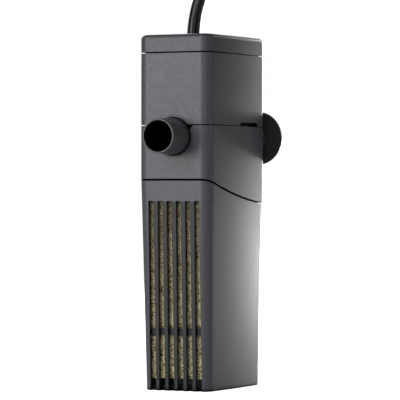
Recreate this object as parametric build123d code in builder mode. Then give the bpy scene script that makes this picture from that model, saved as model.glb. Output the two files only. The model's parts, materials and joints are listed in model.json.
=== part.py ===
"""Slim internal aquarium filter: a slotted foam canister, a pump base with a swivelling outlet
nozzle, and a motor unit with its mains cord.

Millimetres. +Z is up, -Y is the front with the slots and the nozzle, +Y is the back with the
suction cups. The origin is under the middle of the filter, on the surface it stands on.
"""

import math
import os

from build123d import *

os.makedirs("parts", exist_ok=True)

# Outer body
WIDTH = 36.6
DEPTH = 62.0
HEIGHT = 166.0
SIDE_BULGE = 0.8
CORNER_RADIUS = 4.5
WALL = 1.6
FRONT = -DEPTH / 2
BACK = DEPTH / 2

# The canister narrows downwards from this height
TAPER_TOP = 100.0
TAPER_SIDE = 1.6
TAPER_FRONT = 2.8
TAPER_BACK = 2.0

# Seams between the shells: heights and visible gaps
CAP_SEAM = 157.5
CAP_GAP = 0.6
MID_SEAM = 123.7
MID_GAP = 0.45
CANISTER_GAP = 0.9
CANISTER_SEAM = [(-31, 98.8), (-26.6, 97.4), (-12.8, 93.7), (2, 90.7), (16.7, 88.6), (31, 87.3)]

# Spigots that locate one shell inside the next
SPIGOT_WALL = 1.3
SPIGOT_INSET = WALL + 0.3
CANISTER_SPIGOT_INSET = WALL + 0.7
CANISTER_SPIGOT_DEPTH = 7.0

# Canister, slots and foam
FLOOR = 2.2
SLOT_COUNT = 6
SLOT_PITCH = 4.74
SLOT_TOP = 88.4
SLOT_TOP_WIDTH = 2.37
SLOT_FOOT_WIDTH = 3.11
RIB_HEIGHT = 27.6
RIB_THICK = 2.8
FOAM_FOOT = 5.2
FOAM_TOP = 89.5
FOAM_INSET = 3.6
FOAM_FRONT_INSET = 2.6

# Pump: one vertical axis for intake, impeller and motor
PUMP_Y = -3.0
WEB_FOOT, WEB_TOP = 104.0, 106.0
CHAMBER_RADIUS = 13.2
CHAMBER_TOP = 121.9
INTAKE_RADIUS = 6.0
INTAKE_FOOT = 22.0
SHAFT_RADIUS = 1.5
RUNNING_GAP = 0.05

# Rotor well and motor
WELL_RADIUS = 9.0
WELL_BORE = 8.0
WELL_TOP = 153.8
MAGNET_RADIUS = 7.0
MAGNET_FOOT, MAGNET_TOP = 128.0, 149.0
CORE_FOOT, CORE_TOP = 132.0, 146.0
LEG_X = 8.25
LEG_WIDTH = 4.5
COIL_FRONT, COIL_BACK = 8.0, 21.0
YOKE_FRONT, YOKE_BACK = 22.0, 27.0

# Outlet nozzle
NOZZLE_Z = 118.4
NOZZLE_REACH = 15.8
NOZZLE_BORE = 7.1
NOZZLE_MOUTH_RADIUS = 8.1
NOZZLE_BASE_RADIUS = 8.65
NOZZLE_STEM_RADIUS = 8.3
NOZZLE_INNER_END = -19.5
SOCKET_RADIUS = 10.2

# Suction cups
CUP_X = 12.7
CUP_RADIUS = 12.8
CUP_RIM_Y = BACK + 3.9
CUP_NECK = 2.3
CUP_HEAD = 3.4
HEAD_POCKET = 1.0
BRACKET_THICK = 1.8
BRACKET_LENGTH, BRACKET_HEIGHT = 34.4, 14.0
STUD_Z, STUD_RADIUS = 116.0, 3.4

# Mains cord, 6 mm over its jacket
CORD_RADIUS = 3.0
CORD_X, CORD_Y = 0.0, -10.0
CORD_START = 163.0
LEAD_POINTS = [
    (0.0, -10.0, 163.0),
    (0.0, -10.0, 174.5),
    (4.7, -7.3, 190.0),
    (4.0, 2.8, 210.4),
    (-1.2, 18.8, 221.5),
    (-9.7, 36.4, 222.0),
    (-19.2, 50.8, 211.0),
    (-27.4, 56.7, 192.5),
    (-32.5, 54.8, 178.0),
    (-32.4, 53.6, 150.0),
    (-35.6, 53.1, 121.0),
    (-37.1, 50.4, 90.0),
    (-40.9, 49.2, 59.0),
    (-46.2, 56.3, 40.0),
    (-54.4, 70.3, 29.8),
    (-60.3, 81.8, 27.8),
]
HANK_TURN = 26.2
HANK_NEAR, HANK_RUN = 75.0, 60.0
HANK_FOLD = 18.0
HANK_LAYERS = 5
HANK_ENTRY = 25.0
TIE_THICK = 0.6
TIE_WIDTH = 9.0
TAIL_POINTS = [
    (-14.6, 70.5, 3.6),
    (-9.6, 60.3, 3.6),
    (-6.0, 51.1, 9.3),
    (-5.1, 45.2, 19.1),
    (-7.4, 44.1, 30.5),
    (-12.2, 48.0, 40.2),
    (-18.7, 55.6, 46.0),
    (-25.0, 64.9, 46.4),
    (-30.1, 73.3, 42.4),
    (-34.4, 81.4, 38.7),
    (-37.9, 88.4, 38.1),
]
PLUG_WIDTH, PLUG_THICK, PLUG_LENGTH = 35.3, 13.7, 34.0
PLUG_RELIEF = 10.0
PIN_RADIUS, PIN_SPACING, PIN_LENGTH = 2.0, 18.6, 19.0


def outline(z, inset=0.0, front_inset=None):
    """The filter's plan outline at height z, moved inwards by inset."""
    fall = max(0.0, 1 - z / TAPER_TOP)
    half = WIDTH / 2 - TAPER_SIDE * fall - inset
    front = FRONT + TAPER_FRONT * fall + (inset if front_inset is None else front_inset)
    back = BACK - TAPER_BACK * fall - inset
    middle = (front + back) / 2
    with BuildSketch(Plane.XY.offset(z)) as plan:
        with BuildLine():
            Line((-half, front), (half, front))
            ThreePointArc((half, front), (half + SIDE_BULGE, middle), (half, back))
            Line((half, back), (-half, back))
            ThreePointArc((-half, back), (-half - SIDE_BULGE, middle), (-half, front))
        make_face()
        fillet(plan.vertices(), CORNER_RADIUS - inset / 2)
    return plan.sketch


def tapered(foot, top, inset=0.0, front_inset=None, mode=Mode.ADD):
    """Loft the tapered body between two heights."""
    loft([outline(foot, inset, front_inset), outline(top, inset, front_inset)], mode=mode)


def straight(foot, top, inset=0.0, mode=Mode.ADD):
    """Extrude the body's untapered plan between two heights."""
    plan = outline(TAPER_TOP, inset).moved(Location((0, 0, foot - TAPER_TOP)))
    extrude(plan, amount=top - foot, mode=mode)


def cut_at_seam(drop, far):
    """Remove everything between the canister seam, lowered by drop, and height far."""
    seam = [(y, z - drop) for y, z in CANISTER_SEAM]
    with BuildSketch(Plane.YZ) as region:
        with BuildLine():
            curve = Spline(*seam)
            Polyline(
                curve @ 1, (40, seam[-1][1]), (40, far), (-40, far), (-40, seam[0][1]), curve @ 0
            )
        make_face()
    extrude(region.sketch, amount=WIDTH, both=True, mode=Mode.SUBTRACT)


def tube_between(foot, top, outer, inner=0.0, y=PUMP_Y, mode=Mode.ADD):
    """Extrude a ring or disc about the pump axis between two heights."""
    with BuildSketch(Plane.XY.offset(foot)) as ring:
        with Locations((0, y)):
            Circle(outer)
            if inner:
                Circle(inner, mode=Mode.SUBTRACT)
    extrude(ring.sketch, amount=top - foot, mode=mode)


def nozzle_tube(front, back, outer, inner=0.0, mode=Mode.ADD):
    """Extrude a ring or disc about the nozzle axis from y = front to y = back."""
    with BuildSketch(Plane.XZ.offset(-front)) as ring:
        with Locations((0, NOZZLE_Z)):
            Circle(outer)
            if inner:
                Circle(inner, mode=Mode.SUBTRACT)
    extrude(ring.sketch, amount=front - back, mode=mode)


def block(low, high, mode=Mode.ADD):
    """Add a block between two corners."""
    middle = [(a + b) / 2 for a, b in zip(low, high)]
    with Locations(tuple(middle)):
        Box(*[b - a for a, b in zip(low, high)], mode=mode)


def save(piece, name):
    """Label a finished piece and write its STEP file."""
    piece.part.label = name
    export_step(piece.part, f"parts/{name}.step")


# ---------------------------------------------------------------- filter canister
with BuildPart() as filter_canister:
    tapered(0, TAPER_TOP)
    fillet(edges().group_by(Axis.Z)[0], 0.7)
    tapered(FLOOR, TAPER_TOP + 0.01, WALL, mode=Mode.SUBTRACT)
    cut_at_seam(CANISTER_GAP, HEIGHT)
    # Six slots widen downwards and run out through the lower front edge
    with BuildSketch(Plane.XZ.offset(-FRONT + 2)):
        for k in range(SLOT_COUNT):
            x = (k - (SLOT_COUNT - 1) / 2) * SLOT_PITCH
            with BuildLine():
                Polyline(
                    (x - SLOT_FOOT_WIDTH / 2, -1),
                    (x + SLOT_FOOT_WIDTH / 2, -1),
                    (x + SLOT_TOP_WIDTH / 2, SLOT_TOP),
                    (x - SLOT_TOP_WIDTH / 2, SLOT_TOP),
                    close=True,
                )
            make_face()
    extrude(amount=-7, mode=Mode.SUBTRACT)
    # A cross rib ties the bars together behind their faces
    rib_front = FRONT + TAPER_FRONT * (1 - RIB_HEIGHT / TAPER_TOP) + 1.45
    block(
        (-14.6, rib_front, RIB_HEIGHT - RIB_THICK / 2),
        (14.6, rib_front + 1.0, RIB_HEIGHT + RIB_THICK / 2),
    )
    # The foam stands on two ribs that leave a gap under it
    for y in (-14.0, 16.0):
        block((-14.0, y - 0.8, FLOOR), (14.0, y + 0.8, FOAM_FOOT))
save(filter_canister, "filter_canister")

# ---------------------------------------------------------------- foam cartridge
with BuildPart() as foam_cartridge:
    tapered(FOAM_FOOT, FOAM_TOP, FOAM_INSET, FOAM_FRONT_INSET)
    tube_between(FOAM_FOOT, FOAM_TOP, INTAKE_RADIUS + 0.4, mode=Mode.SUBTRACT)
save(foam_cartridge, "foam_cartridge")

# ---------------------------------------------------------------- pump base
BASE_TOP = MID_SEAM - MID_GAP / 2
with BuildPart() as canister_spigot:
    straight(78, WEB_TOP, CANISTER_SPIGOT_INSET)
    straight(78, WEB_TOP, CANISTER_SPIGOT_INSET + SPIGOT_WALL, mode=Mode.SUBTRACT)
    cut_at_seam(CANISTER_SPIGOT_DEPTH, 0)

with BuildPart() as pump_base:
    straight(84, BASE_TOP)
    straight(84, WEB_FOOT, WALL, mode=Mode.SUBTRACT)
    straight(WEB_TOP, BASE_TOP, WALL, mode=Mode.SUBTRACT)
    cut_at_seam(0, 0)
    add(canister_spigot.part)
    # Chamber cup, nozzle socket and the boss that holds the intake tube
    tube_between(WEB_FOOT, CHAMBER_TOP, CHAMBER_RADIUS + WALL)
    nozzle_tube(FRONT + WALL, -10, SOCKET_RADIUS)
    tube_between(WEB_FOOT - 7, WEB_FOOT, INTAKE_RADIUS + 2)
    tube_between(WEB_TOP, HEIGHT, CHAMBER_RADIUS, mode=Mode.SUBTRACT)
    tube_between(WEB_FOOT - 7, WEB_FOOT, INTAKE_RADIUS, mode=Mode.SUBTRACT)
    tube_between(WEB_FOOT, WEB_TOP, 5.4, mode=Mode.SUBTRACT)
    # The socket stands above the seam only behind the front wall
    block((-12, -18.9, CHAMBER_TOP), (12, 0, HEIGHT), mode=Mode.SUBTRACT)
    block((-20, FRONT, BASE_TOP), (20, FRONT + WALL + 0.4, HEIGHT), mode=Mode.SUBTRACT)
    # Nozzle opening, socket bore, snap groove and the half-moon port into the chamber
    nozzle_tube(FRONT - 1, FRONT + WALL, NOZZLE_BASE_RADIUS + 0.3, mode=Mode.SUBTRACT)
    nozzle_tube(FRONT, -19.2, NOZZLE_STEM_RADIUS + 0.06, mode=Mode.SUBTRACT)
    nozzle_tube(-23.4, -22.2, NOZZLE_STEM_RADIUS + 0.4, mode=Mode.SUBTRACT)
    with BuildSketch(Plane.XZ.offset(19.5)):
        with Locations((0, NOZZLE_Z)):
            Circle(6.2)
        with Locations((0, NOZZLE_Z + 6.4)):
            Rectangle(20, 14, mode=Mode.SUBTRACT)
    extrude(amount=-8, mode=Mode.SUBTRACT)
    # Small V cuts where the seam meets the nozzle
    with BuildSketch(Plane.XZ.offset(-FRONT + 1)):
        for side in (-1, 1):
            with BuildLine():
                Polyline(
                    (side * 6.0, BASE_TOP + 0.1),
                    (side * 10.2, BASE_TOP + 0.1),
                    (side * 8.6, BASE_TOP - 1.9),
                    close=True,
                )
            make_face()
    extrude(amount=-2.4, mode=Mode.SUBTRACT)
    # Hole for the stud of the suction-cup bracket
    with BuildSketch(Plane.XZ.offset(-BACK - 1)):
        with Locations((0, STUD_Z)):
            Circle(STUD_RADIUS + 0.1)
    extrude(amount=WALL + 2, mode=Mode.SUBTRACT)
save(pump_base, "pump_base")

# ---------------------------------------------------------------- intake tube
with BuildPart() as intake_tube:
    tube_between(INTAKE_FOOT, WEB_FOOT, INTAKE_RADIUS)
    tube_between(INTAKE_FOOT + 1.2, WEB_FOOT, INTAKE_RADIUS - 1, mode=Mode.SUBTRACT)
    for row in range(6):
        z = INTAKE_FOOT + 8 + row * 9.5
        block((-1.2, PUMP_Y - 8, z), (1.2, PUMP_Y + 8, z + 6), mode=Mode.SUBTRACT)
        block((-8, PUMP_Y - 1.2, z), (8, PUMP_Y + 1.2, z + 6), mode=Mode.SUBTRACT)
save(intake_tube, "intake_tube")

# ---------------------------------------------------------------- outlet nozzle
with BuildPart() as outlet_nozzle:
    with BuildSketch(Plane.YZ):
        with BuildLine():
            Polyline(
                (FRONT - NOZZLE_REACH, NOZZLE_Z),
                (FRONT - NOZZLE_REACH, NOZZLE_Z + NOZZLE_MOUTH_RADIUS),
                (FRONT - 1.4, NOZZLE_Z + NOZZLE_BASE_RADIUS - 0.15),
                (FRONT - 1.4, NOZZLE_Z + NOZZLE_BASE_RADIUS),
                (FRONT + 0.6, NOZZLE_Z + NOZZLE_BASE_RADIUS),
                (FRONT + 0.6, NOZZLE_Z + NOZZLE_STEM_RADIUS),
                (-23.2, NOZZLE_Z + NOZZLE_STEM_RADIUS),
                (-23.2, NOZZLE_Z + NOZZLE_STEM_RADIUS + 0.3),
                (-22.4, NOZZLE_Z + NOZZLE_STEM_RADIUS + 0.3),
                (-22.4, NOZZLE_Z + NOZZLE_STEM_RADIUS),
                (NOZZLE_INNER_END, NOZZLE_Z + NOZZLE_STEM_RADIUS),
                (NOZZLE_INNER_END, NOZZLE_Z),
                close=True,
            )
        make_face()
    revolve(axis=Axis((0, 0, NOZZLE_Z), (0, 1, 0)))
    nozzle_tube(FRONT - NOZZLE_REACH, FRONT + 2, NOZZLE_BORE, mode=Mode.SUBTRACT)
    nozzle_tube(FRONT + 2, NOZZLE_INNER_END - 1.4, 6.4, mode=Mode.SUBTRACT)
    nozzle_tube(-27, -25, NOZZLE_STEM_RADIUS + 1, 7.3, mode=Mode.SUBTRACT)
    # Half-moon opening in the inner end; turning the nozzle closes it against the port
    with BuildSketch(Plane.XZ.offset(-NOZZLE_INNER_END + 2)):
        with Locations((0, NOZZLE_Z)):
            Circle(6.2)
        with Locations((0, NOZZLE_Z + 6.4)):
            Rectangle(20, 14, mode=Mode.SUBTRACT)
    extrude(amount=-3, mode=Mode.SUBTRACT)
    fillet(edges().filter_by(GeomType.CIRCLE).group_by(Axis.Y)[0], 0.35)
save(outlet_nozzle, "outlet_nozzle")

with BuildPart() as nozzle_seal:
    nozzle_tube(-26.9, -25.1, NOZZLE_STEM_RADIUS + 0.04, 7.32)
save(nozzle_seal, "nozzle_seal")

# ---------------------------------------------------------------- suction cups and their bracket
with BuildPart() as cup_bracket:
    with BuildSketch(Plane.XZ.offset(-BACK - BRACKET_THICK)):
        with Locations((0, NOZZLE_Z)):
            RectangleRounded(BRACKET_LENGTH, BRACKET_HEIGHT, BRACKET_HEIGHT / 2 - 0.5)
    extrude(amount=BRACKET_THICK)
    with BuildSketch(Plane.XZ.offset(-BACK - BRACKET_THICK)):
        with Locations((-CUP_X, NOZZLE_Z), (CUP_X, NOZZLE_Z)):
            Circle(CUP_NECK + 0.1)
    extrude(amount=BRACKET_THICK, mode=Mode.SUBTRACT)
    with BuildSketch(Plane.XZ.offset(-BACK - HEAD_POCKET)):
        with Locations((-CUP_X, NOZZLE_Z), (CUP_X, NOZZLE_Z)):
            Circle(CUP_HEAD + 0.1)
    extrude(amount=HEAD_POCKET, mode=Mode.SUBTRACT)
    # Stud that snaps through the back wall of the pump base
    with BuildSketch(Plane.XZ.offset(-BACK)):
        with Locations((0, STUD_Z)):
            Circle(STUD_RADIUS)
    extrude(amount=3.4)
    with BuildSketch(Plane.XZ.offset(-BACK + WALL + 0.1)):
        with Locations((0, STUD_Z)):
            Circle(STUD_RADIUS + 0.6)
    extrude(amount=1.7)
save(cup_bracket, "cup_bracket")

neck_back = BACK + BRACKET_THICK + 0.1
for side, name in ((-1, "suction_cup_left"), (1, "suction_cup_right")):
    with BuildPart() as suction_cup:
        with BuildSketch(Plane.YZ):
            with BuildLine():
                Polyline(
                    (CUP_RIM_Y - 1.3, 0),
                    (BACK + 0.1, 0),
                    (BACK + 0.1, CUP_HEAD),
                    (BACK + HEAD_POCKET - 0.1, CUP_HEAD),
                    (BACK + HEAD_POCKET - 0.1, CUP_NECK),
                    (neck_back, CUP_NECK),
                    (neck_back, 4.6),
                )
                Spline((neck_back, 4.6), (CUP_RIM_Y - 1.3, 9.2), (CUP_RIM_Y - 0.6, CUP_RADIUS))
                Line((CUP_RIM_Y - 0.6, CUP_RADIUS), (CUP_RIM_Y, CUP_RADIUS - 0.1))
                Spline((CUP_RIM_Y, CUP_RADIUS - 0.1), (CUP_RIM_Y - 0.8, 8.0), (CUP_RIM_Y - 1.3, 0))
            make_face()
        revolve(axis=Axis.Y)
    placed = suction_cup.part.moved(Location((side * CUP_X, 0, NOZZLE_Z)))
    placed.label = name
    export_step(placed, f"parts/{name}.step")

# ---------------------------------------------------------------- motor housing
HOUSING_FOOT = MID_SEAM + MID_GAP / 2
HOUSING_TOP = CAP_SEAM - CAP_GAP / 2
HOUSING_PLATE_TOP = HOUSING_FOOT + 2.1
with BuildPart() as motor_housing:
    straight(HOUSING_FOOT, HOUSING_TOP)
    straight(HOUSING_PLATE_TOP, HOUSING_TOP, WALL, mode=Mode.SUBTRACT)
    # Arched pocket over the nozzle socket, open downwards
    nozzle_tube(FRONT + WALL, -17, SOCKET_RADIUS + 2)
    block((-20, FRONT - 1, 100), (20, 0, HOUSING_FOOT), mode=Mode.SUBTRACT)
    # Spigot that drops into the pump base
    straight(HOUSING_FOOT - 2.3, HOUSING_FOOT, SPIGOT_INSET)
    straight(HOUSING_FOOT - 2.3, HOUSING_FOOT, SPIGOT_INSET + SPIGOT_WALL, mode=Mode.SUBTRACT)
    nozzle_tube(FRONT + WALL, -18.5, SOCKET_RADIUS + 0.4, mode=Mode.SUBTRACT)
    nozzle_tube(FRONT - 1, FRONT + WALL + 0.4, NOZZLE_BASE_RADIUS + 0.3, mode=Mode.SUBTRACT)
    tube_between(HOUSING_FOOT, HOUSING_PLATE_TOP, WELL_RADIUS + 0.1, mode=Mode.SUBTRACT)
    # Pry notches in the lower edge of both sides
    for start in (-WIDTH / 2 - 3, WIDTH / 2 - 2):
        with BuildSketch(Plane.YZ.offset(start)):
            with BuildLine():
                Polyline(
                    (0.0, HOUSING_FOOT - 0.1),
                    (21.3, HOUSING_FOOT - 0.1),
                    (20.4, HOUSING_FOOT + 1.5),
                    (2.2, HOUSING_FOOT + 1.5),
                    close=True,
                )
            make_face()
        extrude(amount=5, mode=Mode.SUBTRACT)
save(motor_housing, "motor_housing")

# ---------------------------------------------------------------- rotor well and its bushes
with BuildPart() as rotor_well:
    tube_between(HOUSING_FOOT, WELL_TOP, WELL_RADIUS, WELL_BORE)
    tube_between(WELL_TOP - 1.2, WELL_TOP, WELL_RADIUS)
    tube_between(HOUSING_FOOT - 1.8, HOUSING_FOOT, 14.5, WELL_BORE)
    tube_between(WELL_TOP - 3.6, WELL_TOP - 1.2, 4.4, 3.2)
save(rotor_well, "rotor_well")

with BuildPart() as upper_bush:
    tube_between(WELL_TOP - 3.6, WELL_TOP - 1.2, 3.2, SHAFT_RADIUS)
save(upper_bush, "upper_bush")

# ---------------------------------------------------------------- chamber cover
with BuildPart() as chamber_cover:
    tube_between(106.6, 121.6, 12.9)
    tube_between(108.0, 121.6, 11.5, mode=Mode.SUBTRACT)
    tube_between(106.6, 108.0, 7.0, 3.8, mode=Mode.SUBTRACT)
    for angle in (90, 210, 330):
        with BuildSketch(Plane.XY.offset(106.6)):
            with Locations((0, PUMP_Y)):
                with PolarLocations(5.4, 1, start_angle=angle):
                    Rectangle(4.2, 1.4)
        extrude(amount=1.4)
    tube_between(108.0, 109.4, 3.8)
    tube_between(107.4, 109.4, 2.6, mode=Mode.SUBTRACT)
    block((-7, PUMP_Y - 15, 110.4), (7, PUMP_Y - 8, 118.2), mode=Mode.SUBTRACT)
    tube_between(119.6, 120.8, 14, 12.1, mode=Mode.SUBTRACT)
save(chamber_cover, "chamber_cover")

with BuildPart() as lower_bush:
    tube_between(107.4, 110.0, 2.6, SHAFT_RADIUS)
save(lower_bush, "lower_bush")

with BuildPart() as chamber_seal:
    with BuildSketch(Plane.YZ):
        with Locations((PUMP_Y + 12.62, 120.2)):
            Circle(0.5)
    revolve(axis=Axis((0, PUMP_Y, 0), (0, 0, 1)))
save(chamber_seal, "chamber_seal")

# ---------------------------------------------------------------- rotor
with BuildPart() as impeller:
    tube_between(110.4, 119.4, 3.6)
    tube_between(118.2, 119.4, 9.8)
    with BuildSketch(Plane.XY.offset(110.8)):
        with Locations((0, PUMP_Y)):
            with PolarLocations(6.3, 6):
                Rectangle(7.0, 1.2)
    extrude(amount=7.4)
    tube_between(119.4, MAGNET_TOP + 0.5, 3.0)
    tube_between(110.4, MAGNET_TOP + 0.5, SHAFT_RADIUS + RUNNING_GAP, mode=Mode.SUBTRACT)
save(impeller, "impeller")

with BuildPart() as rotor_magnet:
    tube_between(MAGNET_FOOT, MAGNET_TOP, MAGNET_RADIUS, 3.0)
    chamfer(edges().filter_by(GeomType.CIRCLE).group_by(SortBy.RADIUS)[-1], 0.4)
save(rotor_magnet, "rotor_magnet")

with BuildPart() as rotor_shaft:
    tube_between(107.4, WELL_TOP - 1.4, SHAFT_RADIUS)
save(rotor_shaft, "rotor_shaft")

# ---------------------------------------------------------------- stator core, bobbins, windings
with BuildPart() as stator_core:
    with BuildSketch(Plane.XY.offset(CORE_FOOT)):
        with Locations((0, (YOKE_FRONT + YOKE_BACK) / 2)):
            Rectangle(2 * LEG_X + LEG_WIDTH, YOKE_BACK - YOKE_FRONT)
        for side in (-1, 1):
            with Locations((side * LEG_X, (YOKE_FRONT + 6.5) / 2)):
                Rectangle(LEG_WIDTH, YOKE_FRONT - 6.5)
            with Locations((side * 10.0, PUMP_Y + 0.75)):
                Rectangle(8.0, 17.5)
        with Locations((0, PUMP_Y)):
            Circle(WELL_RADIUS + 0.3, mode=Mode.SUBTRACT)
    extrude(amount=CORE_TOP - CORE_FOOT)
save(stator_core, "stator_core")


def frame_about_leg(side, inner_gap, outer_gap, front, back):
    """Extrude a rectangular sleeve about one leg of the core, from y = front to y = back."""
    height = CORE_TOP - CORE_FOOT
    with BuildSketch(Plane.XZ.offset(-front)) as sleeve:
        with Locations((side * LEG_X, (CORE_FOOT + CORE_TOP) / 2)):
            Rectangle(LEG_WIDTH + 2 * outer_gap, height + 2 * outer_gap)
            Rectangle(LEG_WIDTH + 2 * inner_gap, height + 2 * inner_gap, mode=Mode.SUBTRACT)
    extrude(sleeve.sketch, amount=front - back)


for side, word in ((-1, "left"), (1, "right")):
    with BuildPart() as coil_bobbin:
        frame_about_leg(side, 0.1, 0.9, COIL_FRONT, COIL_BACK)
        frame_about_leg(side, 0.1, 3.6, COIL_FRONT, COIL_FRONT + 1)
        frame_about_leg(side, 0.1, 3.6, COIL_BACK - 1, COIL_BACK)
    save(coil_bobbin, f"coil_bobbin_{word}")
    with BuildPart() as coil_winding:
        frame_about_leg(side, 0.9, 3.2, COIL_FRONT + 1, COIL_BACK - 1)
    save(coil_winding, f"coil_winding_{word}")

# ---------------------------------------------------------------- top cap and cable gland
CAP_FOOT = CAP_SEAM + CAP_GAP / 2
with BuildPart() as top_cap:
    straight(CAP_FOOT, HEIGHT)
    fillet(edges().group_by(Axis.Z)[-1], 2.2)
    straight(CAP_FOOT, CORD_START, WALL + SPIGOT_WALL, mode=Mode.SUBTRACT)
    straight(CAP_FOOT - 2.6, CAP_FOOT, SPIGOT_INSET)
    straight(CAP_FOOT - 2.6, CAP_FOOT, SPIGOT_INSET + SPIGOT_WALL, mode=Mode.SUBTRACT)
    with Locations((CORD_X, CORD_Y, HEIGHT)):
        Hole(CORD_RADIUS + 0.25)
save(top_cap, "top_cap")

with BuildPart() as cable_gland:
    tube_between(CORD_START - 1.4, CORD_START, 7.0, y=CORD_Y)
    tube_between(CORD_START - 8.0, CORD_START - 1.4, 4.6, y=CORD_Y)
save(cable_gland, "cable_gland")

# ---------------------------------------------------------------- potting resin
with BuildPart() as potting_resin:
    straight(HOUSING_PLATE_TOP, CORE_FOOT, WALL)
    nozzle_tube(FRONT, -17, SOCKET_RADIUS + 2, mode=Mode.SUBTRACT)
    tube_between(HOUSING_PLATE_TOP, CORE_FOOT, WELL_RADIUS, mode=Mode.SUBTRACT)
    for side in (-1, 1):
        with Locations((side * LEG_X, (COIL_FRONT + COIL_BACK) / 2, (CORE_FOOT + CORE_TOP) / 2)):
            Box(
                LEG_WIDTH + 7.2,
                COIL_BACK - COIL_FRONT,
                CORE_TOP - CORE_FOOT + 7.2,
                mode=Mode.SUBTRACT,
            )
save(potting_resin, "potting_resin")


# ---------------------------------------------------------------- mains cord
def corner_radii(points):
    """Radius of the arc at each inner point: 0.45 of the shorter run over the tangent of half the turn."""
    radii = []
    for before, here, after in zip(points, points[1:], points[2:]):
        first = Vector(*here) - Vector(*before)
        second = Vector(*after) - Vector(*here)
        half_turn = math.radians(first.get_angle(second)) / 2
        radii.append(0.45 * min(first.length, second.length) / math.tan(half_turn))
    return radii


def cord_tube(points, name):
    """Sweep the cord's section along straight runs joined by arcs."""
    radii = corner_radii(points)
    with BuildPart() as tube:
        with BuildLine():
            route = FilletPolyline(*points, radius=radii)
        with BuildSketch(Plane(origin=points[0], z_dir=route % 0)):
            Circle(CORD_RADIUS)
        sweep()
    save(tube, name)
    length = route.length
    ratio = tube.part.volume / (math.pi * CORD_RADIUS**2 * length)
    print(name, "length", round(length, 1), "volume ratio", round(ratio, 4))
    print(name, "radii", [round(r, 1) for r in radii])
    return length


lead_length = cord_tube(LEAD_POINTS, "power_cord_lead")
tail_length = cord_tube(TAIL_POINTS, "power_cord_tail")

# The hank lies on the floor behind the filter, its long axis turned towards the back left
away = Vector(0, 1, 0).rotate(Axis.Z, HANK_TURN)
hank_centre = away * (HANK_NEAR + HANK_RUN / 2)
hank_plane = Plane(origin=hank_centre + Vector(0, 0, TIE_THICK), x_dir=away, z_dir=(0, 0, 1))
hank_height = HANK_LAYERS * 2 * CORD_RADIUS
with BuildPart() as cord_hank:
    with BuildSketch(hank_plane):
        SlotCenterToCenter(HANK_RUN, 2 * (HANK_FOLD + CORD_RADIUS))
        SlotCenterToCenter(HANK_RUN, 2 * (HANK_FOLD - CORD_RADIUS), mode=Mode.SUBTRACT)
    extrude(amount=hank_height)
save(cord_hank, "cord_hank")
# The lead enters partway along its first run, and the tail leaves at the end of the last one
hank_runs = 2 * HANK_LAYERS * HANK_RUN - HANK_ENTRY
hank_bends = (2 * HANK_LAYERS - 1) * math.pi * HANK_FOLD
print("cord length", round(lead_length + tail_length + hank_runs + hank_bends, 1))

tie_plane = Plane(origin=hank_centre, x_dir=Vector(0, 0, 1).cross(away), z_dir=away)
with BuildPart() as cord_tie:
    with BuildSketch(tie_plane):
        with Locations((0, hank_height / 2 + TIE_THICK)):
            RectangleRounded(2 * (HANK_FOLD + CORD_RADIUS + TIE_THICK), hank_height + 2 * TIE_THICK, 0.5)
            Rectangle(2 * (HANK_FOLD + CORD_RADIUS), hank_height, mode=Mode.SUBTRACT)
    extrude(amount=TIE_WIDTH / 2, both=True)
save(cord_tie, "cord_tie")

# ---------------------------------------------------------------- mains plug
plug_axis = Vector(*TAIL_POINTS[-1]) - Vector(*TAIL_POINTS[-2])
plug_axis = Vector(plug_axis.X, plug_axis.Y, 0).normalized()
plug_plane = Plane(
    origin=TAIL_POINTS[-1], x_dir=plug_axis.cross(Vector(0, 0, 1)), z_dir=plug_axis
)
PLUG_SECTIONS = [(0.0, 8.4, 8.4), (PLUG_RELIEF, 15.0, 11.5), (26.0, 28.0, PLUG_THICK)]
with BuildPart() as plug_body:
    for reach, wide, thick in PLUG_SECTIONS:
        with BuildSketch(plug_plane.offset(reach)):
            RectangleRounded(wide, thick, thick / 2 - 0.3)
    loft()
    with BuildSketch(plug_plane.offset(26.0)):
        RectangleRounded(28.0, PLUG_THICK, PLUG_THICK / 2 - 0.3)
    with BuildSketch(plug_plane.offset(34.0)):
        RectangleRounded(PLUG_WIDTH, PLUG_THICK, PLUG_THICK / 2 - 0.3)
    loft()
    with BuildSketch(plug_plane.offset(34.0)):
        RectangleRounded(PLUG_WIDTH, PLUG_THICK, PLUG_THICK / 2 - 0.3)
    extrude(amount=PLUG_RELIEF + PLUG_LENGTH - 34.0)
save(plug_body, "plug_body")

with BuildPart() as plug_pins:
    with BuildSketch(plug_plane.offset(PLUG_RELIEF + PLUG_LENGTH)):
        with Locations((-PIN_SPACING / 2, 0), (PIN_SPACING / 2, 0)):
            Circle(PIN_RADIUS)
    extrude(amount=PIN_LENGTH)
    fillet(edges().sort_by(Axis(plug_plane.origin, plug_axis))[-2:], 1.0)
save(plug_pins, "plug_pins")
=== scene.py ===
"""Looks of a slim internal aquarium filter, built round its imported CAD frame. Metres, +Z up."""

import json
import math

import bmesh
import bpy
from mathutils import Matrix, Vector, noise


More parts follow.
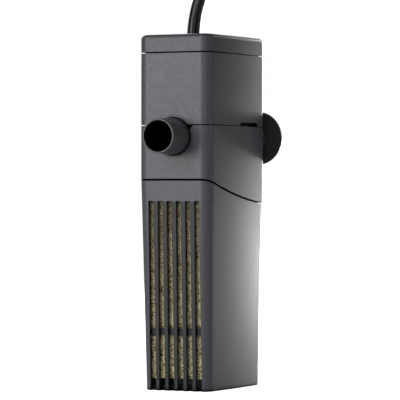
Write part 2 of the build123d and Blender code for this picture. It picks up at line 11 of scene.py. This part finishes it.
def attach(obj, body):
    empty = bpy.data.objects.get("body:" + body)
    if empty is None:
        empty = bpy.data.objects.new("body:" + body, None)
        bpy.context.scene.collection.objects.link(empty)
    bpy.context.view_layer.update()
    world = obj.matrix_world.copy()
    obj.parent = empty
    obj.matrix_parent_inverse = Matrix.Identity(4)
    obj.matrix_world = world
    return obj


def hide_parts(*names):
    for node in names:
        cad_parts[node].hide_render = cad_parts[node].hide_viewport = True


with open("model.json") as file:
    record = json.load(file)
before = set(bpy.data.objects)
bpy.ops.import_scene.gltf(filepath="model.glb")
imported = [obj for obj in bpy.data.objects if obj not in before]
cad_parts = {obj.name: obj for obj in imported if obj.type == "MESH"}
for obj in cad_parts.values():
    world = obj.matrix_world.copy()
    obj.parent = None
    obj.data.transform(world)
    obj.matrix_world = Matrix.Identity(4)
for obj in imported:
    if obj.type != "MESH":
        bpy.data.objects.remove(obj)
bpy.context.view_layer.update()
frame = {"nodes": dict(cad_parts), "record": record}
nodes = frame["nodes"]

# Camera: near mid height, turned to the front right corner
VIEW_TURN = math.radians(26.2)
CAMERA_DISTANCE = 1.3459
CAMERA_SIDE = -0.00129
CAMERA_HEIGHT = 0.09497
CAMERA_PITCH = math.radians(0.264)
CAMERA_LENS = 255.7

# Outlet nozzle: height of its axis, and a radius just outside its bore
NOZZLE_HEIGHT = 0.1184
BORE_RADIUS = 0.00725

# Slotted part of the canister's front: half its width, its top, and how far back it reaches
SLOTTED_HALF_WIDTH = 0.0134
SLOTTED_TOP = 0.0882
SLOTTED_BACK = -0.02

# Mouldings: how near a wall counts as a crevice for the painted crevice shade, and the radius edges
# look rounded by
CREVICE_REACH = 0.003
MOULDED_EDGE = 0.0003

# Cord route, the same points as the CAD cord
CORD_DIAMETER = 0.006
LEAD_POINTS = [
    (0.0000, -0.0100, 0.1630),
    (0.0000, -0.0100, 0.1745),
    (0.0047, -0.0073, 0.1900),
    (0.0040, 0.0028, 0.2104),
    (-0.0012, 0.0188, 0.2215),
    (-0.0097, 0.0364, 0.2220),
    (-0.0192, 0.0508, 0.2110),
    (-0.0274, 0.0567, 0.1925),
    (-0.0325, 0.0548, 0.1780),
    (-0.0324, 0.0536, 0.1500),
    (-0.0356, 0.0531, 0.1210),
    (-0.0371, 0.0504, 0.0900),
    (-0.0409, 0.0492, 0.0590),
    (-0.0462, 0.0563, 0.0400),
    (-0.0544, 0.0703, 0.0298),
    (-0.0603, 0.0818, 0.0278),
]
TAIL_POINTS = [
    (-0.0146, 0.0705, 0.0036),
    (-0.0096, 0.0603, 0.0036),
    (-0.0060, 0.0511, 0.0093),
    (-0.0051, 0.0452, 0.0191),
    (-0.0074, 0.0441, 0.0305),
    (-0.0122, 0.0480, 0.0402),
    (-0.0187, 0.0556, 0.0460),
    (-0.0250, 0.0649, 0.0464),
    (-0.0301, 0.0733, 0.0424),
    (-0.0344, 0.0814, 0.0387),
    (-0.0379, 0.0884, 0.0381),
]

# Hank behind the filter: which way it lies, its ends along that way, and half its lanes' spacing
HANK_TURN = math.radians(26.2)
HANK_NEAR, HANK_FAR = 0.075, 0.135
HANK_FOLD = 0.018
HANK_TURNS = 4
HANK_TOP = 0.0276

# Strap round the hank
STRAP_SLACK = 0.0003
STRAP_CORNER = 0.0025
STRAP_HALF_WIDTH = 0.0044
STRAP_THICKNESS = 0.0005


# ------------------------------------------------------------------ node helpers
def new_material(name, base, roughness, **sockets):
    """A material with its Principled shader's sockets set directly."""
    material = bpy.data.materials.new(name)
    material.use_nodes = True
    shader = material.node_tree.nodes["Principled BSDF"]
    shader.inputs["Base Color"].default_value = (*base, 1)
    shader.inputs["Roughness"].default_value = roughness
    for socket, value in sockets.items():
        shader.inputs[socket.replace("_", " ")].default_value = value
    return material, material.node_tree, shader


def node(tree, kind, **settings):
    """Add one node and set its properties and unlinked inputs."""
    made = tree.nodes.new(kind)
    for key, value in settings.items():
        if hasattr(made, key):
            setattr(made, key, value)
        else:
            made.inputs[key.replace("_", " ")].default_value = value
    return made


def object_coordinates(tree):
    return node(tree, "ShaderNodeTexCoord").outputs["Object"]


def noise_value(tree, scale, detail=2.0, roughness=0.5):
    """Noise over the object's own coordinates, scale in cells per metre."""
    made = node(tree, "ShaderNodeTexNoise", Scale=scale, Detail=detail, Roughness=roughness)
    tree.links.new(object_coordinates(tree), made.inputs["Vector"])
    return made.outputs["Fac"]


def ramp(tree, source, stops):
    """Colour ramp from a list of (position, colour)."""
    made = tree.nodes.new("ShaderNodeValToRGB")
    made.color_ramp.elements[0].position = stops[0][0]
    made.color_ramp.elements[1].position = stops[-1][0]
    for place, _ in stops[1:-1]:
        made.color_ramp.elements.new(place)
    for element, (place, colour) in zip(made.color_ramp.elements, stops):
        element.position = place
        element.color = (*colour, 1)
    tree.links.new(source, made.inputs["Fac"])
    return made.outputs["Color"]


def bump(tree, shader, height, strength, distance, edge=0.0):
    """Surface relief; edge is the radius to which sharp edges look rounded."""
    made = node(tree, "ShaderNodeBump", Strength=strength, Distance=distance)
    tree.links.new(height, made.inputs["Height"])
    tree.links.new(made.outputs["Normal"], shader.inputs["Normal"])
    if edge:
        rounded = node(tree, "ShaderNodeBevel", Radius=edge)
        tree.links.new(rounded.outputs["Normal"], made.inputs["Normal"])


def shade(base, factor):
    return tuple(c * factor for c in base)


def all_below(tree, limits):
    """1 where every value lies below its limit, 0 elsewhere."""
    product = None
    for source, limit in limits:
        inside = node(tree, "ShaderNodeMath", operation="LESS_THAN")
        inside.inputs[1].default_value = limit
        tree.links.new(source, inside.inputs[0])
        if product is None:
            product = inside.outputs[0]
            continue
        both = node(tree, "ShaderNodeMath", operation="MULTIPLY")
        tree.links.new(product, both.inputs[0])
        tree.links.new(inside.outputs[0], both.inputs[1])
        product = both.outputs[0]
    return product


def bar_mask(tree):
    """1 over the slotted part of the canister's front."""
    split = node(tree, "ShaderNodeSeparateXYZ")
    tree.links.new(object_coordinates(tree), split.inputs[0])
    across = node(tree, "ShaderNodeMath", operation="ABSOLUTE")
    tree.links.new(split.outputs["X"], across.inputs[0])
    return all_below(
        tree,
        [
            (across.outputs[0], SLOTTED_HALF_WIDTH),
            (split.outputs["Z"], SLOTTED_TOP),
            (split.outputs["Y"], SLOTTED_BACK),
        ],
    )


def bore_mask(tree):
    """1 over the nozzle's bore, measured from the nozzle's own axis."""
    centred = node(tree, "ShaderNodeVectorMath", operation="SUBTRACT")
    centred.inputs[1].default_value = (0, 0, NOZZLE_HEIGHT)
    tree.links.new(object_coordinates(tree), centred.inputs[0])
    flat = node(tree, "ShaderNodeVectorMath", operation="MULTIPLY")
    flat.inputs[1].default_value = (1, 0, 1)
    tree.links.new(centred.outputs["Vector"], flat.inputs[0])
    radius = node(tree, "ShaderNodeVectorMath", operation="LENGTH")
    tree.links.new(flat.outputs["Vector"], radius.inputs[0])
    return all_below(tree, [(radius.outputs["Value"], BORE_RADIUS)])


def multiply(tree, first, second):
    made = node(tree, "ShaderNodeMix", data_type="RGBA", blend_type="MULTIPLY")
    made.inputs["Factor"].default_value = 1.0
    tree.links.new(first, made.inputs[6])
    tree.links.new(second, made.inputs[7])
    return made.outputs[2]


def moulded_plastic(
    name, base, roughness, grain=2600, strength=0.25, specular=0.5, painted_shade_area=None, darkness=0.5
):
    """Moulded plastic with a fine grain and painted shade in its crevices; the optional mask picks a
    part given painted shade, its colour and specular darkened down to darkness.
    """
    material, tree, shader = new_material(name, base, roughness, Specular_IOR_Level=specular)
    tone = noise_value(tree, 900, 3)
    colour = ramp(tree, tone, [(0.3, shade(base, 0.9)), (0.7, shade(base, 1.1))])
    # Painted shade: seams, slots and other narrow places have their colour and specular darkened by
    # ambient occlusion
    crevice = node(tree, "ShaderNodeAmbientOcclusion", samples=6, Distance=CREVICE_REACH)
    painted_crevice_shade = ramp(tree, crevice.outputs["AO"], [(0.5, (0.04,) * 3), (0.85, (1.0,) * 3)])
    colour = multiply(tree, colour, painted_crevice_shade)
    shine = ramp(tree, crevice.outputs["AO"], [(0.5, (0.02,) * 3), (0.85, (specular,) * 3)])
    if painted_shade_area:
        tone = ramp(tree, painted_shade_area(tree), [(0.0, (1.0,) * 3), (1.0, (darkness,) * 3)])
        colour = multiply(tree, colour, tone)
        shine = multiply(tree, shine, tone)
    tree.links.new(colour, shader.inputs["Base Color"])
    tree.links.new(shine, shader.inputs["Specular IOR Level"])
    gloss = noise_value(tree, 700, 2)
    low, high = roughness - 0.03, roughness + 0.03
    gloss = ramp(tree, gloss, [(0.35, (low,) * 3), (0.65, (high,) * 3)])
    tree.links.new(gloss, shader.inputs["Roughness"])
    bump(tree, shader, noise_value(tree, grain, 1), strength, 0.00004, MOULDED_EDGE)
    return material


def satin_rubber(name, base, roughness, sheen=0.0):
    material, tree, shader = new_material(name, base, roughness, Sheen_Weight=sheen)
    tone = noise_value(tree, 90, 3)
    tree.links.new(
        ramp(tree, tone, [(0.3, shade(base, 0.8)), (0.75, shade(base, 1.3))]),
        shader.inputs["Base Color"],
    )
    bump(tree, shader, noise_value(tree, 1500, 2), 0.12, 0.00003)
    return material


def foam_material():
    """Open-cell foam: pale cell walls, dark pores, patchy straw and olive tone."""
    base = (0.8, 0.72, 0.44)
    material, tree, shader = new_material("filter_foam", base, 0.95, Specular_IOR_Level=0.1)
    cells = node(tree, "ShaderNodeTexVoronoi", feature="F1", Scale=1250)
    tree.links.new(object_coordinates(tree), cells.inputs["Vector"])
    pores = ramp(
        tree,
        cells.outputs["Distance"],
        [(0.2, (1.0, 0.93, 0.58)), (0.5, (0.95, 0.84, 0.49)), (0.78, (0.2, 0.16, 0.08))],
    )
    patch = ramp(
        tree,
        noise_value(tree, 260, 4),
        [(0.35, (0.6, 0.6, 0.52)), (0.65, (1.0, 0.98, 0.94))],
    )
    tree.links.new(multiply(tree, pores, patch), shader.inputs["Base Color"])
    bump(tree, shader, cells.outputs["Distance"], 0.7, 0.0004)
    return material


def winding_material():
    """Enamelled wire laid side by side round the bobbin."""
    material, tree, shader = new_material("copper_winding", (0.45, 0.15, 0.06), 0.3, Metallic=0.8)
    wave = node(tree, "ShaderNodeTexWave", bands_direction="Y", Scale=900, Distortion=0.6)
    tree.links.new(object_coordinates(tree), wave.inputs["Vector"])
    tree.links.new(
        ramp(tree, wave.outputs["Fac"], [(0.2, (0.2, 0.06, 0.025)), (0.7, (0.6, 0.22, 0.09))]),
        shader.inputs["Base Color"],
    )
    bump(tree, shader, wave.outputs["Fac"], 0.6, 0.0002)
    return material


def lamination_material():
    """Stacked steel sheets, seen as fine lines along the height."""
    material, tree, shader = new_material("core_steel", (0.36, 0.36, 0.37), 0.38, Metallic=0.9)
    wave = node(tree, "ShaderNodeTexWave", bands_direction="Z", Scale=320, Distortion=0.2)
    tree.links.new(object_coordinates(tree), wave.inputs["Vector"])
    tree.links.new(
        ramp(tree, wave.outputs["Fac"], [(0.05, (0.12, 0.12, 0.125)), (0.3, (0.4, 0.4, 0.41))]),
        shader.inputs["Base Color"],
    )
    bump(tree, shader, wave.outputs["Fac"], 0.5, 0.0001)
    return material


def strap_material():
    """Woven hook-and-loop strap."""
    material, tree, shader = new_material("tie_fabric", (0.03, 0.03, 0.032), 0.9)
    wave = node(tree, "ShaderNodeTexWave", bands_direction="DIAGONAL", Scale=700, Distortion=1.0)
    tree.links.new(object_coordinates(tree), wave.inputs["Vector"])
    tree.links.new(
        ramp(tree, wave.outputs["Fac"], [(0.2, (0.012,) * 3), (0.8, (0.06, 0.06, 0.064))]),
        shader.inputs["Base Color"],
    )
    bump(tree, shader, wave.outputs["Fac"], 0.6, 0.0002)
    return material


def plain_metal(name, base, roughness):
    material, tree, shader = new_material(name, base, roughness, Metallic=1.0)
    tone = noise_value(tree, 400, 3)
    tree.links.new(
        ramp(tree, tone, [(0.3, shade(base, 0.85)), (0.7, shade(base, 1.05))]),
        shader.inputs["Base Color"],
    )
    bump(tree, shader, noise_value(tree, 2500, 2), 0.08, 0.00002)
    return material


shell_plastic = moulded_plastic("shell_plastic", (0.115, 0.119, 0.134), 0.36)
# The cap is a shade darker than the housings below it
cap_plastic = moulded_plastic("cap_plastic", (0.095, 0.099, 0.113), 0.36)
# Painted shade on the narrow bars between the slots: their colour and specular are darkened to half
# those of the shell round them
canister_plastic = moulded_plastic(
    "canister_plastic", (0.115, 0.119, 0.134), 0.36, painted_shade_area=bar_mask, darkness=0.5
)
# Painted shade in the nozzle's bore: its colour and specular are darkened nearly to black
nozzle_plastic = moulded_plastic(
    "nozzle_plastic", (0.09, 0.093, 0.103), 0.34, grain=1800, painted_shade_area=bore_mask, darkness=0.06
)
inner_plastic = moulded_plastic("inner_plastic", (0.045, 0.045, 0.05), 0.4)
impeller_plastic = moulded_plastic("impeller_plastic", (0.3, 0.32, 0.34), 0.35)
bobbin_plastic = moulded_plastic("bobbin_plastic", (0.55, 0.52, 0.45), 0.45)
magnet_ferrite = moulded_plastic("ferrite_magnet", (0.05, 0.047, 0.046), 0.5, grain=4000, strength=0.5)
ceramic = moulded_plastic("ceramic_shaft", (0.75, 0.73, 0.68), 0.15, strength=0.05)
resin = moulded_plastic("potting_resin", (0.018, 0.018, 0.022), 0.12, grain=300, strength=0.1)
plug_plastic = moulded_plastic("plug_plastic", (0.014, 0.014, 0.015), 0.34, grain=1500)
cup_rubber = satin_rubber("cup_rubber", (0.022, 0.022, 0.024), 0.42, sheen=0.25)
seal_rubber = satin_rubber("seal_rubber", (0.03, 0.03, 0.03), 0.55)
cord_jacket = satin_rubber("cord_rubber", (0.012, 0.012, 0.0125), 0.28, sheen=0.1)

MATERIALS = {
    "shell_plastic": shell_plastic,
    "nozzle_plastic": nozzle_plastic,
    "inner_plastic": inner_plastic,
    "impeller_plastic": impeller_plastic,
    "bobbin_plastic": bobbin_plastic,
    "filter_foam": foam_material(),
    "cup_rubber": cup_rubber,
    "seal_rubber": seal_rubber,
    "ferrite_magnet": magnet_ferrite,
    "ceramic_shaft": ceramic,
    "core_steel": lamination_material(),
    "copper_winding": winding_material(),
    "potting_resin": resin,
    "cord_rubber": cord_jacket,
    "tie_fabric": strap_material(),
    "plug_plastic": plug_plastic,
    "pin_metal": plain_metal("pin_metal", (0.72, 0.71, 0.68), 0.2),
}


# ------------------------------------------------------------------ CAD nodes
def dress(name, slot):
    """Give a CAD node its material."""
    mesh = nodes[name].data
    mesh.materials.clear()
    mesh.materials.append(MATERIALS[slot])


for entry in frame["record"]["subparts"]:
    dress(entry["node"], entry["material_slot"])
nodes["filter_canister"].data.materials[0] = canister_plastic
nodes["top_cap"].data.materials[0] = cap_plastic


# ------------------------------------------------------------------ foam
FOAM_CELL = 0.0008
# Front face of the foam: its y at floor level, and how far it leans forward for each metre up
FOAM_FRONT_FOOT = -0.0256
FOAM_FRONT_LEAN = 0.028
RIB_HEIGHT = 0.0276


def fill_shell(skin):
    """Below the pump's spigot the soft block swells against the shell, round the cross rib."""
    for vertex in skin.vertices:
        x, y, z = vertex.co
        below = min(1.0, max(0.0, (0.080 - z) / 0.006))
        front = FOAM_FRONT_FOOT - z * FOAM_FRONT_LEAN
        # Square the front corners, which the cartridge has rounded
        if y < front + 0.0029 and abs(x) > 0.010:
            y = front + 0.35 * (y - front)
        dent = math.exp(-(((z - RIB_HEIGHT) / 0.0022) ** 4))
        if y < front + 0.004:
            y -= (0.0008 - 0.0004 * min(1.0, max(0.0, (z - 0.04) / 0.045))) * (1 - dent)
        vertex.co = (x * (1 + 0.07 * below), y, z)


def make_foam():
    """Open-cell foam block: the cartridge remeshed finely, its skin pitted with cells."""
    cartridge = nodes["foam_cartridge"]
    shape = bmesh.new()
    shape.from_mesh(cartridge.data)
    bmesh.ops.remove_doubles(shape, verts=shape.verts, dist=1e-6)
    mesh = bpy.data.meshes.new("foam_skin")
    shape.to_mesh(mesh)
    shape.free()
    foam = bpy.data.objects.new("filter_foam", mesh)
    bpy.context.scene.collection.objects.link(foam)
    foam.matrix_world = cartridge.matrix_world.copy()
    remesh = foam.modifiers.new("cells", "REMESH")
    remesh.mode = "VOXEL"
    remesh.voxel_size = FOAM_CELL
    settled = foam.evaluated_get(bpy.context.evaluated_depsgraph_get())
    foam.data = bpy.data.meshes.new_from_object(settled)
    foam.modifiers.clear()
    skin = foam.data
    fill_shell(skin)
    normals = [vertex.normal.copy() for vertex in skin.vertices]
    for vertex, normal in zip(skin.vertices, normals):
        coarse = noise.noise(vertex.co * 420)
        fine = noise.noise(vertex.co * 980 + Vector((5, 3, 1)))
        pit = 0.00045 + 0.0003 * coarse + 0.0003 * fine
        vertex.co -= normal * max(0.00005, pit)
    skin.shade_smooth()
    skin.materials.clear()
    skin.materials.append(MATERIALS["filter_foam"])
    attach(foam, "canister")
    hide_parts("foam_cartridge")


make_foam()


# ------------------------------------------------------------------ mains cord
def hank_point(across, along, height):
    """A point of the hank from its own axes, across and along the direction it lies in."""
    x = across * math.cos(HANK_TURN) - along * math.sin(HANK_TURN)
    y = across * math.sin(HANK_TURN) + along * math.cos(HANK_TURN)
    return (x, y, height)


def hank_turns():
    """Control points of the turns; each drops by one diameter at the fold near the filter."""
    corners = [math.radians(15 + 30 * k) for k in range(6)]
    reach = HANK_FOLD / math.cos(math.radians(15))
    middle = (HANK_NEAR + HANK_FAR) / 2
    out_and_back = [(-reach * math.cos(a), HANK_FAR + reach * math.sin(a)) for a in corners]
    out_and_back.append((HANK_FOLD, middle))
    near_fold = [(reach * math.cos(a), HANK_NEAR - reach * math.sin(a)) for a in corners]
    near_fold.append((-HANK_FOLD, middle))
    points = []
    for turn in range(HANK_TURNS + 1):
        height = HANK_TOP - turn * CORD_DIAMETER
        points += [hank_point(across, along, height) for across, along in out_and_back]
        if turn == HANK_TURNS:
            break
        for k, (across, along) in enumerate(near_fold):
            drop = min(k + 1, 6) / 6 * CORD_DIAMETER
            points.append(hank_point(across, along, height - drop))
    return points


def make_strap():
    """Hook-and-loop strap pulled round both lanes of the hank, its free end lapped on top."""
    half_wide = HANK_FOLD + CORD_DIAMETER / 2 + STRAP_SLACK
    low, high = STRAP_SLACK, HANK_TOP + CORD_DIAMETER / 2 + STRAP_SLACK
    corner = STRAP_CORNER
    path = []
    for turn, (x, z) in enumerate(
        ((half_wide, high), (-half_wide, high), (-half_wide, low), (half_wide, low))
    ):
        middle_x = x - math.copysign(corner, x)
        middle_z = z - math.copysign(corner, z - (low + high) / 2)
        for step in range(5):
            angle = math.radians(90 * turn + 22.5 * step)
            path.append((middle_x + corner * math.cos(angle), middle_z + corner * math.sin(angle)))
    path += path[:1]
    lap = [(half_wide - corner, high + 0.0007), (0.003, high + 0.0007), (-0.006, high + 0.0009)]
    shape = bmesh.new()
    middle = (HANK_NEAR + HANK_FAR) / 2
    for run in (path, lap):
        rows = []
        for across, height in run:
            rows.append(
                [
                    shape.verts.new(hank_point(across, middle + side * STRAP_HALF_WIDTH, height))
                    for side in (-1, -0.5, 0, 0.5, 1)
                ]
            )
        for first, second in zip(rows, rows[1:]):
            for k in range(4):
                shape.faces.new((first[k], first[k + 1], second[k + 1], second[k]))
    mesh = bpy.data.meshes.new("hank_strap")
    shape.to_mesh(mesh)
    shape.free()
    mesh.shade_smooth()
    strap = bpy.data.objects.new("hank_strap", mesh)
    bpy.context.scene.collection.objects.link(strap)
    thick = strap.modifiers.new("thickness", "SOLIDIFY")
    thick.thickness = STRAP_THICKNESS
    thick.offset = 0
    mesh.materials.append(MATERIALS["tie_fabric"])
    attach(strap, "motor")
    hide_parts("cord_tie")
    return strap


def make_cord():
    curve = bpy.data.curves.new("power_cord", "CURVE")
    curve.dimensions = "3D"
    curve.bevel_depth = CORD_DIAMETER / 2
    curve.bevel_resolution = 8
    curve.resolution_u = 8
    curve.use_fill_caps = True
    points = LEAD_POINTS + hank_turns() + TAIL_POINTS
    spline = curve.splines.new("NURBS")
    spline.points.add(len(points) - 1)
    for place, point in zip(spline.points, points):
        place.co = (*point, 1)
    spline.order_u = 3
    spline.use_endpoint_u = True
    cord = bpy.data.objects.new("power_cord", curve)
    bpy.context.scene.collection.objects.link(cord)
    curve.materials.append(cord_jacket)
    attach(cord, "motor")
    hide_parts("power_cord_lead", "cord_hank", "power_cord_tail")
    make_strap()
    return cord


make_cord()


# ------------------------------------------------------------------ camera, light and stage
def make_camera():
    right = Vector((math.cos(VIEW_TURN), math.sin(VIEW_TURN), 0))
    away = Vector((-math.sin(VIEW_TURN), math.cos(VIEW_TURN), 0))
    data = bpy.data.cameras.new("camera")
    data.lens = CAMERA_LENS
    data.clip_end = 50
    camera = bpy.data.objects.new("camera", data)
    camera.location = right * CAMERA_SIDE - away * CAMERA_DISTANCE + Vector((0, 0, CAMERA_HEIGHT))
    camera.rotation_euler = (math.pi / 2 - CAMERA_PITCH, 0, VIEW_TURN)
    bpy.context.scene.collection.objects.link(camera)
    bpy.context.scene.camera = camera


def around(azimuth, distance, height):
    """A point round the filter; azimuth 0 is in front, 90 to the right, 180 behind."""
    angle = math.radians(azimuth)
    return Vector((distance * math.sin(angle), -distance * math.cos(angle), height))


def area_light(name, place, target, size, power):
    data = bpy.data.lights.new(name, "AREA")
    data.shape = "RECTANGLE"
    data.size, data.size_y = size
    data.energy = power
    light = bpy.data.objects.new(name, data)
    light.location = place
    light.rotation_euler = (Vector(target) - place).to_track_quat("-Z", "Y").to_euler()
    light.visible_camera = False
    bpy.context.scene.collection.objects.link(light)
    return light


def make_world():
    """White for the camera, dim for the light that reaches the filter."""
    world = bpy.data.worlds.new("studio")
    world.use_nodes = True
    tree = world.node_tree
    tree.nodes.clear()
    seen = node(tree, "ShaderNodeBackground", Color=(1, 1, 1, 1), Strength=1.0)
    fill = node(tree, "ShaderNodeBackground", Color=(1, 1, 1, 1), Strength=0.01)
    path = node(tree, "ShaderNodeLightPath")
    mix = node(tree, "ShaderNodeMixShader")
    out = node(tree, "ShaderNodeOutputWorld")
    tree.links.new(path.outputs["Is Camera Ray"], mix.inputs[0])
    tree.links.new(fill.outputs[0], mix.inputs[1])
    tree.links.new(seen.outputs[0], mix.inputs[2])
    tree.links.new(mix.outputs[0], out.inputs["Surface"])
    bpy.context.scene.world = world


def make_floor():
    """Pale table, made white to the camera by a glow that no other ray sees."""
    mesh = bpy.data.meshes.new("floor")
    shape = bmesh.new()
    bmesh.ops.create_circle(shape, cap_ends=True, segments=96, radius=40.0)
    shape.to_mesh(mesh)
    shape.free()
    floor = bpy.data.objects.new("floor", mesh)
    bpy.context.scene.collection.objects.link(floor)
    material, tree, shader = new_material(
        "pale_floor", (0.8, 0.8, 0.8), 0.8, Specular_IOR_Level=0.1, Emission_Color=(1, 1, 1, 1)
    )
    path = node(tree, "ShaderNodeLightPath")
    tree.links.new(path.outputs["Is Camera Ray"], shader.inputs["Emission Strength"])
    mesh.materials.append(material)


MIDDLE = (0, 0, 0.1)
make_camera()
make_world()
make_floor()
area_light("key", around(-25, 1.5, 0.9), MIDDLE, (0.5, 0.7), 3.6)
area_light("key_front", around(-10, 1.5, 0.9), MIDDLE, (0.4, 0.7), 3.6)
area_light("key_low", around(-27, 1.5, 0.25), MIDDLE, (0.5, 0.5), 4.5)
area_light("eye_fill", around(22, 1.5, 0.6), MIDDLE, (0.5, 0.5), 2.0)
area_light("left_fill", around(-140, 1.2, 0.6), MIDDLE, (0.8, 0.8), 8)
area_light("edge_strip", around(105, 0.9, 0.25), MIDDLE, (0.05, 0.9), 0.7)
area_light("back_panel", around(180, 1.0, 0.25), MIDDLE, (0.2, 0.5), 5.2)
area_light("back_low", around(180, 0.8, 0.03), MIDDLE, (0.25, 0.05), 3.4)
area_light("back_low_side", around(165, 1.2, 0.03), MIDDLE, (0.3, 0.06), 0.15)
bpy.context.scene.view_settings.view_transform = "Standard"
